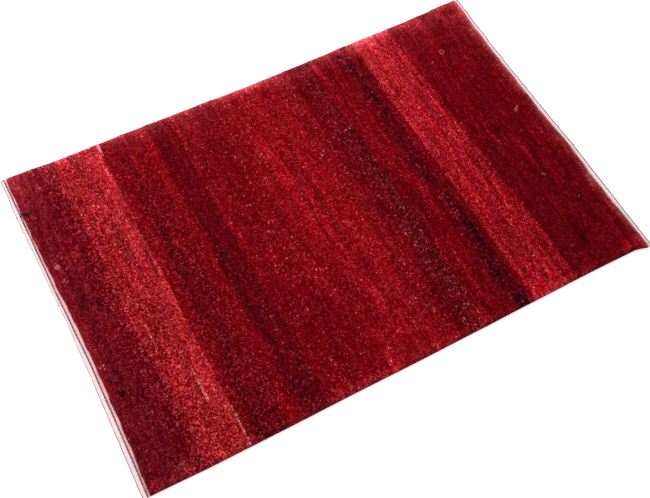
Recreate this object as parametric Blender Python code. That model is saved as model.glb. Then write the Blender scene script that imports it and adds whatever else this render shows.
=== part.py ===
"""A small hand-knotted wool rug, lying flat.

The pile field, two flat-woven ends, the dark line twined into each end and the two overcast sides are
solids of their own. Metres, +Z up. The origin is the middle of the underside, +X runs along the length and
+Y towards the far side. The underside lies at z = 0.
"""

import math
from collections import namedtuple

import bmesh
import bpy

MM = 0.001
GAP = 0.3 * MM  # between pieces that touch

# Plan, to the mean line of each side
HALF_LENGTH = 594 * MM
HALF_WIDTH = 396 * MM
CORNER_ROUND = 1.8 * MM  # how far a corner of the pile draws in along each side
KILIM_SHY = 0.8 * MM  # the flat-woven ends are this much narrower at each side than the pile

# Heights
PILE_HEIGHT = 11.0 * MM
LUMP = 0.35 * MM  # how far the clipped surface rises and sinks at most

# Round cords, by their diameter
SELVEDGE = 4.4 * MM
TWINED_LINE = 1.8 * MM
TWINED_SEAT = 1.2 * MM  # the ground cloth under the twined line
TWINED_FROM_PILE = 4.6 * MM

# Mesh lines
PILE_CELLS_ALONG = 34
PILE_CELLS_ACROSS = 23
KILIM_CELLS = 22
EDGE_CELL = 7 * MM  # the last cell at each corner is this narrow, so that the corner can round
CORD_POINTS = 30
CORD_ROUNDNESS = 2
SHARP_ANGLE = math.radians(40)

SideStation = namedtuple("SideStation", "along far_out near_out")
EndStation = namedtuple("EndStation", "across left_out left_band right_out right_band")
RimRow = namedtuple("RimRow", "height out")
Ripple = namedtuple("Ripple", "share length turn start")
KilimColumn = namedtuple("KilimColumn", "share inward top")
Paint = namedtuple("Paint", "colour roughness")

# How far each long side stands out from its mean line, in mm, by its share of the half length
LONG_SIDES = (
    SideStation(-1.00, 4.0, 1.4),
    SideStation(-0.75, -1.2, 4.0),
    SideStation(-0.50, -1.8, 4.0),
    SideStation(-0.25, -4.0, 3.2),
    SideStation(0.00, -7.0, 3.6),
    SideStation(0.25, -5.6, 2.6),
    SideStation(0.50, -3.2, 1.2),
    SideStation(0.75, -2.6, 0.2),
    SideStation(1.00, 2.6, 3.2),
)

# The same for each end, with the width of its flat-woven band, by its share of the half width
ENDS = (
    EndStation(-1.00, 1.6, 12.0, -5.0, 13.0),
    EndStation(-0.75, 2.8, 14.5, -3.0, 14.5),
    EndStation(-0.50, 0.6, 15.5, -1.4, 15.0),
    EndStation(-0.25, -0.8, 16.0, 0.8, 13.0),
    EndStation(0.00, -2.0, 14.0, -0.2, 14.0),
    EndStation(0.25, 0.4, 12.5, -0.4, 12.5),
    EndStation(0.50, 2.6, 12.0, 0.4, 12.0),
    EndStation(0.75, 6.0, 12.0, 2.6, 12.0),
    EndStation(1.00, 5.0, 10.5, 6.0, 12.0),
)

# The pile's edge from the top down, in mm: its height, and how far it leans out over its foot
PILE_RIM = (
    RimRow(10.6, -3.0),
    RimRow(9.2, -0.6),
    RimRow(7.2, 0.9),
    RimRow(5.4, 0.8),
    RimRow(5.0, 0.0),
    RimRow(0.0, 0.0),
)
TOP_INSET = 6.0 * MM  # the clipped surface starts this far inside the foot

# An end band across its width, in mm: from the outer edge (share 0) or back from the pile (share 1)
KILIM_SECTION = (
    KilimColumn(0, 0.0, 1.1),
    KilimColumn(0, 0.8, 2.1),
    KilimColumn(0, 2.2, 2.3),
    KilimColumn(0, 3.4, 1.9),
    KilimColumn(1, -6.2, 1.9),
    KilimColumn(1, -5.8, TWINED_SEAT / MM),
    KilimColumn(1, -3.4, TWINED_SEAT / MM),
    KilimColumn(1, -3.0, 1.9),
    KilimColumn(1, 0.0, 1.9),
)

# Slow waves over the clipped pile: share of LUMP, wavelength in m, direction in degrees, start in radians
RIPPLES = (
    Ripple(0.30, 0.62, 25, 0.6),
    Ripple(0.30, 0.47, -50, 1.9),
    Ripple(0.22, 0.24, 80, 0.3),
    Ripple(0.18, 0.17, -15, 2.4),
)

PAINTS = {
    "pile_field": Paint((0.230, 0.008, 0.018), 0.95),
    "kilim_end_left": Paint((0.820, 0.640, 0.640), 0.90),
    "kilim_end_right": Paint((0.820, 0.640, 0.640), 0.90),
    "twined_line_left": Paint((0.120, 0.080, 0.085), 0.90),
    "twined_line_right": Paint((0.120, 0.080, 0.085), 0.90),
    "selvedge_near": Paint((0.100, 0.008, 0.018), 0.90),
    "selvedge_far": Paint((0.160, 0.010, 0.020), 0.90),
}


def station_value(rows, column, share):
    """A table's column in metres at a share of the half side, eased from row to row."""
    key = rows[0]._fields[0]
    for low, high in zip(rows, rows[1:]):
        start, stop = getattr(low, key), getattr(high, key)
        if share <= stop or high is rows[-1]:
            t = min(max((share - start) / (stop - start), 0.0), 1.0)
            t = t * t * (3 - 2 * t)
            return ((1 - t) * getattr(low, column) + t * getattr(high, column)) * MM


def side_line(side, along):
    """The y of a long side's outer line. side is +1 for the far one."""
    column = "far_out" if side > 0 else "near_out"
    return side * (HALF_WIDTH + station_value(LONG_SIDES, column, along))


def end_line(end, across):
    """The x of an end's outer line. end is +1 for the right one."""
    column = "right_out" if end > 0 else "left_out"
    return end * (HALF_LENGTH + station_value(ENDS, column, across))


def band_width(end, across):
    """The width of the flat-woven band at an end."""
    return station_value(ENDS, "right_band" if end > 0 else "left_band", across)


def pile_side(side, along):
    """The y of the pile's foot along a long side, inside its overcast cord."""
    return side_line(side, along) - side * (SELVEDGE + GAP)


def pile_end(end, across):
    """The x of the pile's foot at an end, inside its flat-woven band."""
    return end_line(end, across) - end * (band_width(end, across) + GAP)


def lump(x, y):
    """The slow rise and fall of the clipped pile, between -LUMP and LUMP."""
    rise = 0.0
    for ripple in RIPPLES:
        turn = math.radians(ripple.turn)
        run = x * math.cos(turn) + y * math.sin(turn)
        rise += ripple.share * math.sin(math.tau * run / ripple.length + ripple.start)
    return LUMP * rise


def shares(cells, half):
    """Shares of a half side from -1 to 1: even cells, with one narrow cell at each end."""
    inner = 1 - EDGE_CELL / half
    return [-1.0] + [inner * (2 * i / cells - 1) for i in range(cells + 1)] + [1.0]


def snap(share):
    """A share kept in a 32-bit layer, given back its exact ends."""
    return float(round(share, 5))


def pile_point(along, across, out, height):
    """A point of the pile, where out moves the rim away from its foot."""
    near, far = pile_side(-1, along) - out, pile_side(1, along) + out
    left, right = pile_end(-1, across) - out, pile_end(1, across) + out
    x = left + (right - left) * (along + 1) / 2
    y = near + (far - near) * (across + 1) / 2
    if abs(along) == 1 and abs(across) == 1:
        x -= along * CORNER_ROUND
        y -= across * CORNER_ROUND
    return x, y, height + lump(x, y) * height / PILE_HEIGHT


def kilim_point(end, across, column):
    """A point of an end band's upper face, by its place across the rug and its column of the section."""
    outer = end_line(end, across)
    width = band_width(end, across)
    x = outer - end * (column.share * width + column.inward * MM)
    side = math.copysign(1, across)
    y = abs(across) * (side_line(side, end) - side * KILIM_SHY)
    return x, y, column.top * MM


def new_grid(columns, rows):
    """A flat grid of unit size, and a function that gives a vertex's column and row."""
    bm = bmesh.new()
    bmesh.ops.create_grid(bm, x_segments=columns - 1, y_segments=rows - 1, size=1)

    def place(vert):
        return round((vert.co.x + 1) / 2 * (columns - 1)), round((vert.co.y + 1) / 2 * (rows - 1))

    return bm, place


def drop_rim(bm, place_rim):
    """Draws a new ring of faces down from the open rim, and moves each new corner with place_rim."""
    rim = [edge for edge in bm.edges if edge.is_boundary]
    drawn = bmesh.ops.extrude_edge_only(bm, edges=rim)["geom"]
    for vert in drawn:
        if isinstance(vert, bmesh.types.BMVert):
            vert.co = place_rim(vert)


def close_underside(bm):
    """Fills the open rim, which lies flat at z = 0, with one face."""
    rim = [edge for edge in bm.edges if edge.is_boundary]
    bmesh.ops.edgeloop_fill(bm, edges=rim)
    bmesh.ops.recalc_face_normals(bm, faces=bm.faces[:])


def make_material(name):
    """The plain wool of one piece."""
    paint = PAINTS[name]
    material = bpy.data.materials.new(name + "_wool")
    material.use_nodes = True
    shader = material.node_tree.nodes["Principled BSDF"]
    shader.inputs["Base Color"].default_value = (*paint.colour, 1)
    shader.inputs["Roughness"].default_value = paint.roughness
    shader.inputs["Metallic"].default_value = 0
    material.diffuse_color = (*paint.colour, 1)
    return material


def finish_object(name, data, collection):
    """Names the object, gives it its wool and puts it in the rug's collection."""
    obj = bpy.data.objects.new(name, data)
    data.materials.append(make_material(name))
    collection.objects.link(obj)
    return obj


def finish_mesh(name, bm, collection):
    """Turns a bmesh into a smooth-shaded object."""
    mesh = bpy.data.meshes.new(name)
    bm.to_mesh(mesh)
    bm.free()
    mesh.shade_smooth()
    mesh.set_sharp_from_angle(angle=SHARP_ANGLE)
    return finish_object(name, mesh, collection)


def make_pile(collection):
    """The knotted field with its foundation: a slab that leans out a little under its rounded rim."""
    along = shares(PILE_CELLS_ALONG, HALF_LENGTH)
    across = shares(PILE_CELLS_ACROSS, HALF_WIDTH)
    bm, place = new_grid(len(along), len(across))
    u_layer = bm.verts.layers.float.new("along")
    v_layer = bm.verts.layers.float.new("across")
    for vert in bm.verts:
        column, row = place(vert)
        vert[u_layer], vert[v_layer] = along[column], across[row]
        vert.co = pile_point(along[column], across[row], -TOP_INSET, PILE_HEIGHT)
    for rim in PILE_RIM:
        drop_rim(bm, lambda v: pile_point(snap(v[u_layer]), snap(v[v_layer]), rim.out * MM, rim.height * MM))
    close_underside(bm)
    return finish_mesh("pile_field", bm, collection)


def make_kilim(end, collection):
    """A flat-woven end band, with a seat for its twined line and a thicker sewn outer edge."""
    across = shares(KILIM_CELLS, HALF_WIDTH)
    bm, place = new_grid(len(KILIM_SECTION), len(across))
    for vert in bm.verts:
        column, row = place(vert)
        vert.co = kilim_point(end, across[row], KILIM_SECTION[column])
    drop_rim(bm, lambda v: (v.co.x, v.co.y, 0))
    close_underside(bm)
    return finish_mesh("kilim_end_right" if end > 0 else "kilim_end_left", bm, collection)


def make_cord(name, points, diameter, collection):
    """A round cord through the points, with closed ends."""
    curve = bpy.data.curves.new(name, "CURVE")
    curve.dimensions = "3D"
    curve.bevel_depth = diameter / 2
    curve.bevel_resolution = CORD_ROUNDNESS
    curve.use_fill_caps = True
    spline = curve.splines.new("POLY")
    spline.points.add(len(points) - 1)
    for knot, point in zip(spline.points, points):
        knot.co = (*point, 1)
    return finish_object(name, curve, collection)


def make_selvedge(side, collection):
    """The overcast edge warps along a long side, between the two end bands."""
    radius = SELVEDGE / 2
    points = []
    for i in range(CORD_POINTS):
        along = 2 * i / (CORD_POINTS - 1) - 1
        left, right = pile_end(-1, side), pile_end(1, side)
        x = left + (right - left) * (along + 1) / 2
        points.append((x, side_line(side, along) - side * radius, radius))
    return make_cord("selvedge_far" if side > 0 else "selvedge_near", points, SELVEDGE, collection)


def make_twined_line(end, collection):
    """The dark two-ply weft line, in the seat of its end band."""
    points = []
    for i in range(CORD_POINTS):
        across = 2 * i / (CORD_POINTS - 1) - 1
        x = end_line(end, across) - end * (band_width(end, across) - TWINED_FROM_PILE)
        side = math.copysign(1, across)
        y = abs(across) * (side_line(side, end) - side * (KILIM_SHY + GAP))
        points.append((x, y, TWINED_SEAT + GAP + TWINED_LINE / 2))
    return make_cord("twined_line_right" if end > 0 else "twined_line_left", points, TWINED_LINE, collection)


def main():
    for obj in list(bpy.data.objects):
        bpy.data.objects.remove(obj)
    collection = bpy.data.collections.new("gabbeh_rug")
    bpy.context.scene.collection.children.link(collection)
    make_pile(collection)
    for end in (-1, 1):
        make_kilim(end, collection)
        make_twined_line(end, collection)
    for side in (-1, 1):
        make_selvedge(side, collection)


main()
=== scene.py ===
"""The looks of a small hand-knotted gabbeh rug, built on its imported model.

Every knot of the pile is a raised tuft with its own dye. The flat-woven ends, their twined lines and the
overcast sides are woven and wound yarn. Metres, +Z up, +X along the rug and +Y to its far side.
"""

from __future__ import annotations

import logging
import math
from dataclasses import dataclass, field, replace
from enum import Enum

import bmesh
import bpy
import numpy as np
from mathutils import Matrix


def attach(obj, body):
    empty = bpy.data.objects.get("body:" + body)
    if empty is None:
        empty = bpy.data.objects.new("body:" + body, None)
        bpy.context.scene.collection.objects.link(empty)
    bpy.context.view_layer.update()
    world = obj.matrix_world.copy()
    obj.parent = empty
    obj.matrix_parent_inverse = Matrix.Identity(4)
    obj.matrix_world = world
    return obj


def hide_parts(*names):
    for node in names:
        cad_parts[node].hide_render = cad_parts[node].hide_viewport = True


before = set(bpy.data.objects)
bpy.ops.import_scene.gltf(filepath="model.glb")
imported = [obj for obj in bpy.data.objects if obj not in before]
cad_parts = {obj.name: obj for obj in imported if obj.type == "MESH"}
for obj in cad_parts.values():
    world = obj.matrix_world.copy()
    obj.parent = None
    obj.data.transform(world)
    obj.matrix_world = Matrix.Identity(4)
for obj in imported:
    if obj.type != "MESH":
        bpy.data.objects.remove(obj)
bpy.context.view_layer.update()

LOG = logging.getLogger("gabbeh_rug")
MM = 0.001
BODY = "root"
# the attribute holds each yarn's dye and, on the pile, painted light and painted shade
DYE_AND_LIGHT = "dye"  # the colour attribute that every yarn reads
BAKE_MAP = "OFBake"
NOISE_GAIN = 1.35  # gives eased noise about unit spread again

NoiseLayers = tuple[tuple[float, tuple[float, float]], ...]  # each layer's amount, and its hills' two sizes


class Dye(Enum):
    """The dyer's wools, as sRGB values out of 255."""

    WINE = (104, 0, 12)
    DUSKY = (124, 17, 29)
    CRIMSON = (125, 0, 10)
    RED = (143, 0, 13)
    SCARLET = (156, 0, 16)
    POPPY = (184, 26, 38)
    CORAL = (186, 36, 39)
    RUST = (142, 46, 34)
    ROSE = (168, 34, 48)
    PALE = (206, 86, 90)
    BLACK = (32, 6, 12)
    OLIVE = (46, 26, 24)
    PLUM = (66, 2, 18)
    GOLD = (184, 90, 56)
    SALMON = (230, 108, 110)
    BLUSH = (250, 180, 182)
    UNDYED = (232, 208, 209)
    SLATE = (132, 116, 120)
    TWINE = (58, 47, 50)
    ASH = (150, 112, 114)

    @property
    def linear(self) -> np.ndarray:
        """The wool's colour as linear light."""
        value = np.asarray(self.value) / 255
        return np.where(value <= 0.04045, value / 12.92, ((value + 0.055) / 1.055) ** 2.4)


@dataclass(frozen=True)
class Outline:
    """The rug's plan: four wavy sides, and what their finishes take of them.

    Each column has nine stations, evenly spaced from one end of its side to the other, in millimetres. An out
    column is how far the rug's edge bulges, a band column the width of the flat weave, and a line column how
    far in from the edge the twined line runs. flare is how far the near right corner stands out, and it rises
    over the last flare_run of its half of the side.
    """

    half_length: float = 594 * MM
    half_width: float = 396 * MM
    selvedge: float = 4.4 * MM
    gap: float = 0.3 * MM
    kilim_shy: float = 0.8 * MM
    flare: float = 7.5 * MM
    flare_from: float = 0.95
    flare_run: float = 0.05
    flare_power: float = 1.4
    far_out: tuple[float, ...] = (4.0, -1.2, -1.8, -4.0, -7.0, -5.6, -3.2, -2.6, 2.6)
    near_out: tuple[float, ...] = (2.6, 5.2, 5.2, 4.4, 4.8, 3.8, 2.5, 1.5, 2.8)
    left_out: tuple[float, ...] = (1.4, 1.0, -0.6, -1.8, -2.0, 0.2, 2.2, 4.2, 3.2)
    left_band: tuple[float, ...] = (14.4, 18.0, 17.8, 17.2, 15.6, 13.9, 13.2, 13.4, 12.2)
    left_line: tuple[float, ...] = (10.2, 11.5, 10.9, 10.3, 7.8, 7.5, 8.5, 9.5, 7.0)
    right_out: tuple[float, ...] = (-5.3, -3.3, -1.7, 0.3, -0.9, -1.1, -1.2, 1.1, 4.9)
    right_band: tuple[float, ...] = (10.9, 13.0, 14.7, 11.9, 13.7, 12.2, 12.0, 12.1, 11.0)
    right_line: tuple[float, ...] = (6.3, 8.4, 10.1, 7.3, 9.1, 7.6, 7.4, 7.5, 6.4)

    @staticmethod
    def eased(column: tuple[float, ...], share: np.ndarray) -> np.ndarray:
        """Reads a column between its stations.

        Args:
            column: the nine values, in millimetres.
            share: places along the side, from -1 to 1.

        Returns:
            The values in metres, eased from station to station.
        """
        place = (np.clip(share, -1, 1) + 1) / 2 * (len(column) - 1)
        low = np.minimum(place.astype(int), len(column) - 2)
        t = place - low
        t = t * t * (3 - 2 * t)
        values = np.asarray(column) * MM
        return (1 - t) * values[low] + t * values[low + 1]

    def side_line(self, side: int, along: np.ndarray) -> np.ndarray:
        """The outer line of a long side, with its near right corner flared.

        Args:
            side: 1 for the far side and -1 for the near one.
            along: places along the side, from -1 to 1.

        Returns:
            The y of each place.
        """
        if side > 0:
            return self.half_width + self.eased(self.far_out, along)
        rise = np.clip((along - self.flare_from) / self.flare_run, 0, 1) ** self.flare_power
        return -self.half_width - self.eased(self.near_out, along) - self.flare * rise

    def end_line(self, end: int, across: np.ndarray) -> np.ndarray:
        """The x of an end's outer line, where end is 1 for the right end and -1 for the left one."""
        column = self.right_out if end > 0 else self.left_out
        return end * (self.half_length + self.eased(column, across))

    def band_width(self, end: int, across: np.ndarray) -> np.ndarray:
        """The width of the flat-woven band at an end."""
        return self.eased(self.right_band if end > 0 else self.left_band, across)

    def line_inset(self, end: int, across: np.ndarray) -> np.ndarray:
        """How far in from the outer line an end's twined line runs."""
        return self.eased(self.right_line if end > 0 else self.left_line, across)

    def pile_side(self, side: int, along: np.ndarray) -> np.ndarray:
        """The y of the pile's foot along a long side."""
        return self.side_line(side, along) - side * (self.selvedge + self.gap)

    def pile_end(self, end: int, across: np.ndarray) -> np.ndarray:
        """The x of the pile's foot at an end."""
        return self.end_line(end, across) - end * (self.band_width(end, across) + self.gap)


OUTLINE = Outline()


def smooth_noise(rng: np.random.Generator, shape: tuple[int, int], cell: tuple[float, float]) -> np.ndarray:
    """Slow random rise and fall over a grid.

    Args:
        rng: where the numbers come from.
        shape: the grid's columns and rows.
        cell: how many columns and rows one hill takes.

    Returns:
        A grid of that shape, of about unit spread.
    """
    coarse = rng.normal(size=(int(shape[0] / cell[0]) + 3, int(shape[1] / cell[1]) + 3))
    u, v = np.arange(shape[0]) / cell[0], np.arange(shape[1]) / cell[1]
    i, j = u.astype(int), v.astype(int)
    s, t = (u - i)[:, None], (v - j)[None, :]
    s, t = s * s * (3 - 2 * s), t * t * (3 - 2 * t)
    low = coarse[np.ix_(i, j)] * (1 - t) + coarse[np.ix_(i, j + 1)] * t
    high = coarse[np.ix_(i + 1, j)] * (1 - t) + coarse[np.ix_(i + 1, j + 1)] * t
    return (low * (1 - s) + high * s) * NOISE_GAIN


def layered_noise(rng: np.random.Generator, shape: tuple[int, int], layers: NoiseLayers) -> np.ndarray:
    """The sum of several slow noises over one grid.

    Args:
        rng: where the numbers come from.
        shape: the grid's columns and rows.
        layers: each noise's amount and the size of its hills.

    Returns:
        A grid of that shape.
    """
    return sum(amount * smooth_noise(rng, shape, cell) for amount, cell in layers)


def ebbing(
    amount: np.ndarray | float, depth: np.ndarray, reach: np.ndarray | float, fall: float
) -> np.ndarray:
    """An amount that is full at an edge, half as much at a depth of reach, and fades out further in."""
    return amount / (1 + (depth / reach) ** fall)


def finished_mesh(bm: bmesh.types.BMesh, name: str) -> bpy.types.Mesh:
    """Turns a bmesh into a mesh and lets the bmesh go.

    Args:
        bm: the shape.
        name: the mesh's name.

    Returns:
        The mesh.
    """
    mesh = bpy.data.meshes.new(name)
    bm.to_mesh(mesh)
    bm.free()
    return mesh


def index_slab(columns: int, rows: int, tufted: bool) -> bpy.types.Mesh:
    """A closed slab on whole-number coordinates, which a piece then moves to its own place.

    Args:
        columns: cells along x.
        rows: cells along y.
        tufted: whether each cell of the upper face is poked up to a point.

    Returns:
        A mesh whose z is 0 on the upper face, 1 at each tuft's tip and -1 round the underside.
    """
    bm = bmesh.new()
    bmesh.ops.create_grid(bm, x_segments=columns, y_segments=rows, size=1)
    bmesh.ops.translate(bm, verts=bm.verts[:], vec=(1, 1, 0))
    bmesh.ops.scale(bm, verts=bm.verts[:], vec=(columns / 2, rows / 2, 1))
    rim = [edge for edge in bm.edges if edge.is_boundary]
    for edge in rim:
        edge.smooth = False
    if tufted:
        bmesh.ops.poke(bm, faces=bm.faces[:], offset=1)
    for face in bm.faces:
        face.smooth = True
    drawn = bmesh.ops.extrude_edge_only(bm, edges=rim)["geom"]
    lower = [item for item in drawn if isinstance(item, bmesh.types.BMVert)]
    bmesh.ops.translate(bm, verts=lower, vec=(0, 0, -1))
    foot = [item for item in drawn if isinstance(item, bmesh.types.BMEdge) and item.is_boundary]
    bmesh.ops.edgeloop_fill(bm, edges=foot)
    bmesh.ops.recalc_face_normals(bm, faces=bm.faces[:])
    return finished_mesh(bm, "slab")


def read_points(mesh: bpy.types.Mesh) -> np.ndarray:
    """Reads a mesh's vertices.

    Args:
        mesh: the mesh.

    Returns:
        Their places, one a row.
    """
    points = np.empty(len(mesh.vertices) * 3, np.float32)
    mesh.vertices.foreach_get("co", points)
    return points.reshape(-1, 3).astype(float)


def set_points(mesh: bpy.types.Mesh, points: np.ndarray) -> None:
    """Moves the mesh's vertices."""
    mesh.vertices.foreach_set("co", points.astype(np.float32).ravel())
    mesh.update()


def corner_vertices(mesh: bpy.types.Mesh) -> np.ndarray:
    """Reads which vertex each face corner lies on.

    Args:
        mesh: the mesh.

    Returns:
        The vertices' numbers.
    """
    found = np.empty(len(mesh.loops), np.int32)
    mesh.loops.foreach_get("vertex_index", found)
    return found


def corner_faces(mesh: bpy.types.Mesh) -> np.ndarray:
    """Reads which face each face corner belongs to.

    Args:
        mesh: the mesh.

    Returns:
        The faces' numbers.
    """
    count = np.empty(len(mesh.polygons), np.int32)
    mesh.polygons.foreach_get("loop_total", count)
    return np.repeat(np.arange(len(count)), count)


def face_means(mesh: bpy.types.Mesh, points: np.ndarray) -> np.ndarray:
    """Takes the mean of the vertices round each face.

    Args:
        mesh: the mesh.
        points: a point for each of its vertices.

    Returns:
        The means, one a row.
    """
    faces, at = corner_faces(mesh), points[corner_vertices(mesh)]
    count = np.bincount(faces)
    return np.stack([np.bincount(faces, at[:, k]) / count for k in range(at.shape[1])], 1)


def paint(mesh: bpy.types.Mesh, colours: np.ndarray) -> None:
    """Paints a mesh's colour attribute: its dye and, on the pile, painted light and shade.

    Args:
        mesh: the mesh.
        colours: a linear colour for each face corner.
    """
    layer = mesh.color_attributes.new(name=DYE_AND_LIGHT, type="FLOAT_COLOR", domain="CORNER")
    full = np.ones((len(colours), 4), np.float32)
    full[:, :3] = np.clip(colours, 0, 1)
    layer.data.foreach_set("color", full.ravel())


def tube(name: str, centres: np.ndarray, radii: np.ndarray, sides: int) -> bpy.types.Mesh:
    """A closed tube of yarn round a line that stays nearly level.

    Args:
        name: the mesh's name.
        centres: the line's points.
        radii: a radius for each point and side.
        sides: how many sides the tube has.

    Returns:
        The tube's mesh, smooth, with its ends filled.
    """
    rings = len(centres)
    bm = bmesh.new()
    bmesh.ops.create_grid(bm, x_segments=rings - 1, y_segments=sides, size=1)
    mesh = finished_mesh(bm, name)
    points = read_points(mesh)
    ring = np.rint((points[:, 0] + 1) / 2 * (rings - 1)).astype(int)
    turn = np.rint((points[:, 1] + 1) / 2 * sides).astype(int) % sides
    run = np.gradient(centres, axis=0)
    run /= np.linalg.norm(run, axis=1)[:, None]
    beside = np.stack([-run[:, 1], run[:, 0], np.zeros(rings)], 1)
    beside /= np.linalg.norm(beside, axis=1)[:, None]
    above = np.cross(beside, run) * -1
    angle = math.tau * turn / sides
    radius = radii[ring, turn] if radii.ndim == 2 else radii[ring]
    around = np.cos(angle)[:, None] * beside[ring] + np.sin(angle)[:, None] * above[ring]
    set_points(mesh, centres[ring] + radius[:, None] * around)
    bm = bmesh.new()
    bm.from_mesh(mesh)
    bmesh.ops.remove_doubles(bm, verts=bm.verts[:], dist=1e-6)
    bmesh.ops.holes_fill(bm, edges=bm.edges[:], sides=sides)
    bmesh.ops.recalc_face_normals(bm, faces=bm.faces[:])
    for face in bm.faces:
        face.smooth = True
    bm.to_mesh(mesh)
    bm.free()
    return mesh


def seat(
    name: str, mesh: bpy.types.Mesh, material: bpy.types.Material, slot: str, *nodes: str
) -> bpy.types.Object:
    """Makes a mesh a piece of the rug.

    Args:
        name: the piece's name.
        mesh: its shape, already in place.
        material: its finish.
        slot: the record's material slot; not used.
        nodes: the solids that it stands for.

    Returns:
        The piece.
    """
    piece = bpy.data.objects.new(name, mesh)
    mesh.name = name
    mesh.materials.clear()
    mesh.materials.append(material)
    bpy.context.scene.collection.objects.link(piece)
    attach(piece, BODY)
    if nodes:
        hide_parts(*nodes)
    LOG.info("%s: %d faces", name, len(mesh.polygons))
    return piece


def set_inputs(node: bpy.types.Node, values: dict[str, float | tuple[float, ...]]) -> None:
    """Sets a node's inputs by their names."""
    for name, value in values.items():
        node.inputs[name].default_value = value


@dataclass(frozen=True)
class WoolFinish:
    """Wool that shows its dye, varied by a pattern that also stands out a little.

    relief and relief_depth are how strongly and how far the pattern stands out.
    """

    name: str
    roughness: float
    gloss: float
    relief: float
    relief_depth: float

    def surface(self) -> dict[str, float | tuple[float, ...]]:
        """The shader's own values."""
        return {"Roughness": self.roughness, "Specular IOR Level": self.gloss}

    def pattern(
        self, tree: bpy.types.NodeTree, place: bpy.types.NodeSocket
    ) -> tuple[bpy.types.NodeSocket, bpy.types.NodeSocket]:
        """Adds the pattern's nodes.

        Args:
            tree: the material's nodes.
            place: the coordinates that the pattern reads.

        Returns:
            What the dye is multiplied by, and the pattern's height.
        """
        raise NotImplementedError

    def material(self) -> bpy.types.Material:
        """Builds the finish.

        Returns:
            A material that reads the dye attribute and varies it with the pattern.
        """
        made = bpy.data.materials.new(self.name)
        made.use_nodes = True
        tree = made.node_tree
        shader = tree.nodes["Principled BSDF"]
        set_inputs(shader, self.surface())
        place = tree.nodes.new("ShaderNodeTexCoord")
        factor, height = self.pattern(tree, place.outputs["Object"])
        dye = tree.nodes.new("ShaderNodeAttribute")
        dye.attribute_name = DYE_AND_LIGHT
        shaded = tree.nodes.new("ShaderNodeVectorMath")
        shaded.operation = "MULTIPLY"
        bump = tree.nodes.new("ShaderNodeBump")
        set_inputs(bump, {"Strength": self.relief, "Distance": self.relief_depth})
        tree.links.new(dye.outputs["Color"], shaded.inputs[0])
        tree.links.new(factor, shaded.inputs[1])
        tree.links.new(shaded.outputs["Vector"], shader.inputs["Base Color"])
        tree.links.new(height, bump.inputs["Height"])
        tree.links.new(bump.outputs["Normal"], shader.inputs["Normal"])
        return made


@dataclass(frozen=True)
class YarnFinish(WoolFinish):
    """Dyed yarn: its soft sheen, and fibres that are lighter and darker by shade."""

    roughness: float = 0.92
    gloss: float = 0.012
    relief: float = 0.5
    relief_depth: float = 0.25 * MM
    sheen: float = 0.03
    sheen_roughness: float = 0.35
    sheen_tint: tuple[float, float, float] = (1.0, 0.30, 0.32)
    fibre: float = 0.7 * MM
    fibre_spread: tuple[float, float] = (0.3, 0.7)
    shade: float = 0.30

    def surface(self) -> dict[str, float | tuple[float, ...]]:
        """Adds the sheen to the shader's own values.

        Returns:
            Each socket's name with its value.
        """
        return super().surface() | {
            "Sheen Weight": self.sheen,
            "Sheen Roughness": self.sheen_roughness,
            "Sheen Tint": (*self.sheen_tint, 1),
        }

    def pattern(
        self, tree: bpy.types.NodeTree, place: bpy.types.NodeSocket
    ) -> tuple[bpy.types.NodeSocket, bpy.types.NodeSocket]:
        """Adds the fibres.

        Args:
            tree: the material's nodes.
            place: the coordinates that the fibres follow.

        Returns:
            What the dye is multiplied by, and the fibres' height.
        """
        fibre = tree.nodes.new("ShaderNodeTexNoise")
        set_inputs(fibre, {"Scale": 1 / self.fibre, "Detail": 2})
        spread = tree.nodes.new("ShaderNodeMapRange")
        low, high = self.fibre_spread
        set_inputs(spread, {"From Min": low, "From Max": high})
        set_inputs(spread, {"To Min": 1 - self.shade, "To Max": 1 + self.shade})
        tree.links.new(place, fibre.inputs["Vector"])
        tree.links.new(fibre.outputs["Fac"], spread.inputs["Value"])
        return spread.outputs["Result"], fibre.outputs["Fac"]


@dataclass(frozen=True)
class BackFinish(WoolFinish):
    """The back of the rug: the bands again, in flat ribs of knots with dark weft between them."""

    roughness: float = 0.95
    gloss: float = 0.15
    relief: float = 0.6
    relief_depth: float = 0.4 * MM
    knot: float = 2.55 * MM
    weft: float = 0.28 * MM
    light: tuple[float, float, float] = (1, 1, 1)
    dark: tuple[float, float, float] = (0.45, 0.45, 0.45)
    weft_tint: tuple[float, float, float] = (0.30, 0.26, 0.26)

    def pattern(
        self, tree: bpy.types.NodeTree, place: bpy.types.NodeSocket
    ) -> tuple[bpy.types.NodeSocket, bpy.types.NodeSocket]:
        """Adds the backs of the knots.

        Args:
            tree: the material's nodes.
            place: the coordinates that the knots follow.

        Returns:
            What the dye is multiplied by, and the knots' height.
        """
        knots = tree.nodes.new("ShaderNodeTexBrick")
        knots.offset = 0
        set_inputs(knots, {"Scale": 1, "Mortar Size": self.weft})
        set_inputs(knots, {"Brick Width": self.knot, "Row Height": self.knot})
        set_inputs(knots, {"Color1": (*self.light, 1), "Color2": (*self.dark, 1)})
        set_inputs(knots, {"Mortar": (*self.weft_tint, 1)})
        tree.links.new(place, knots.inputs["Vector"])
        return knots.outputs["Color"], knots.outputs["Color"]


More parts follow.
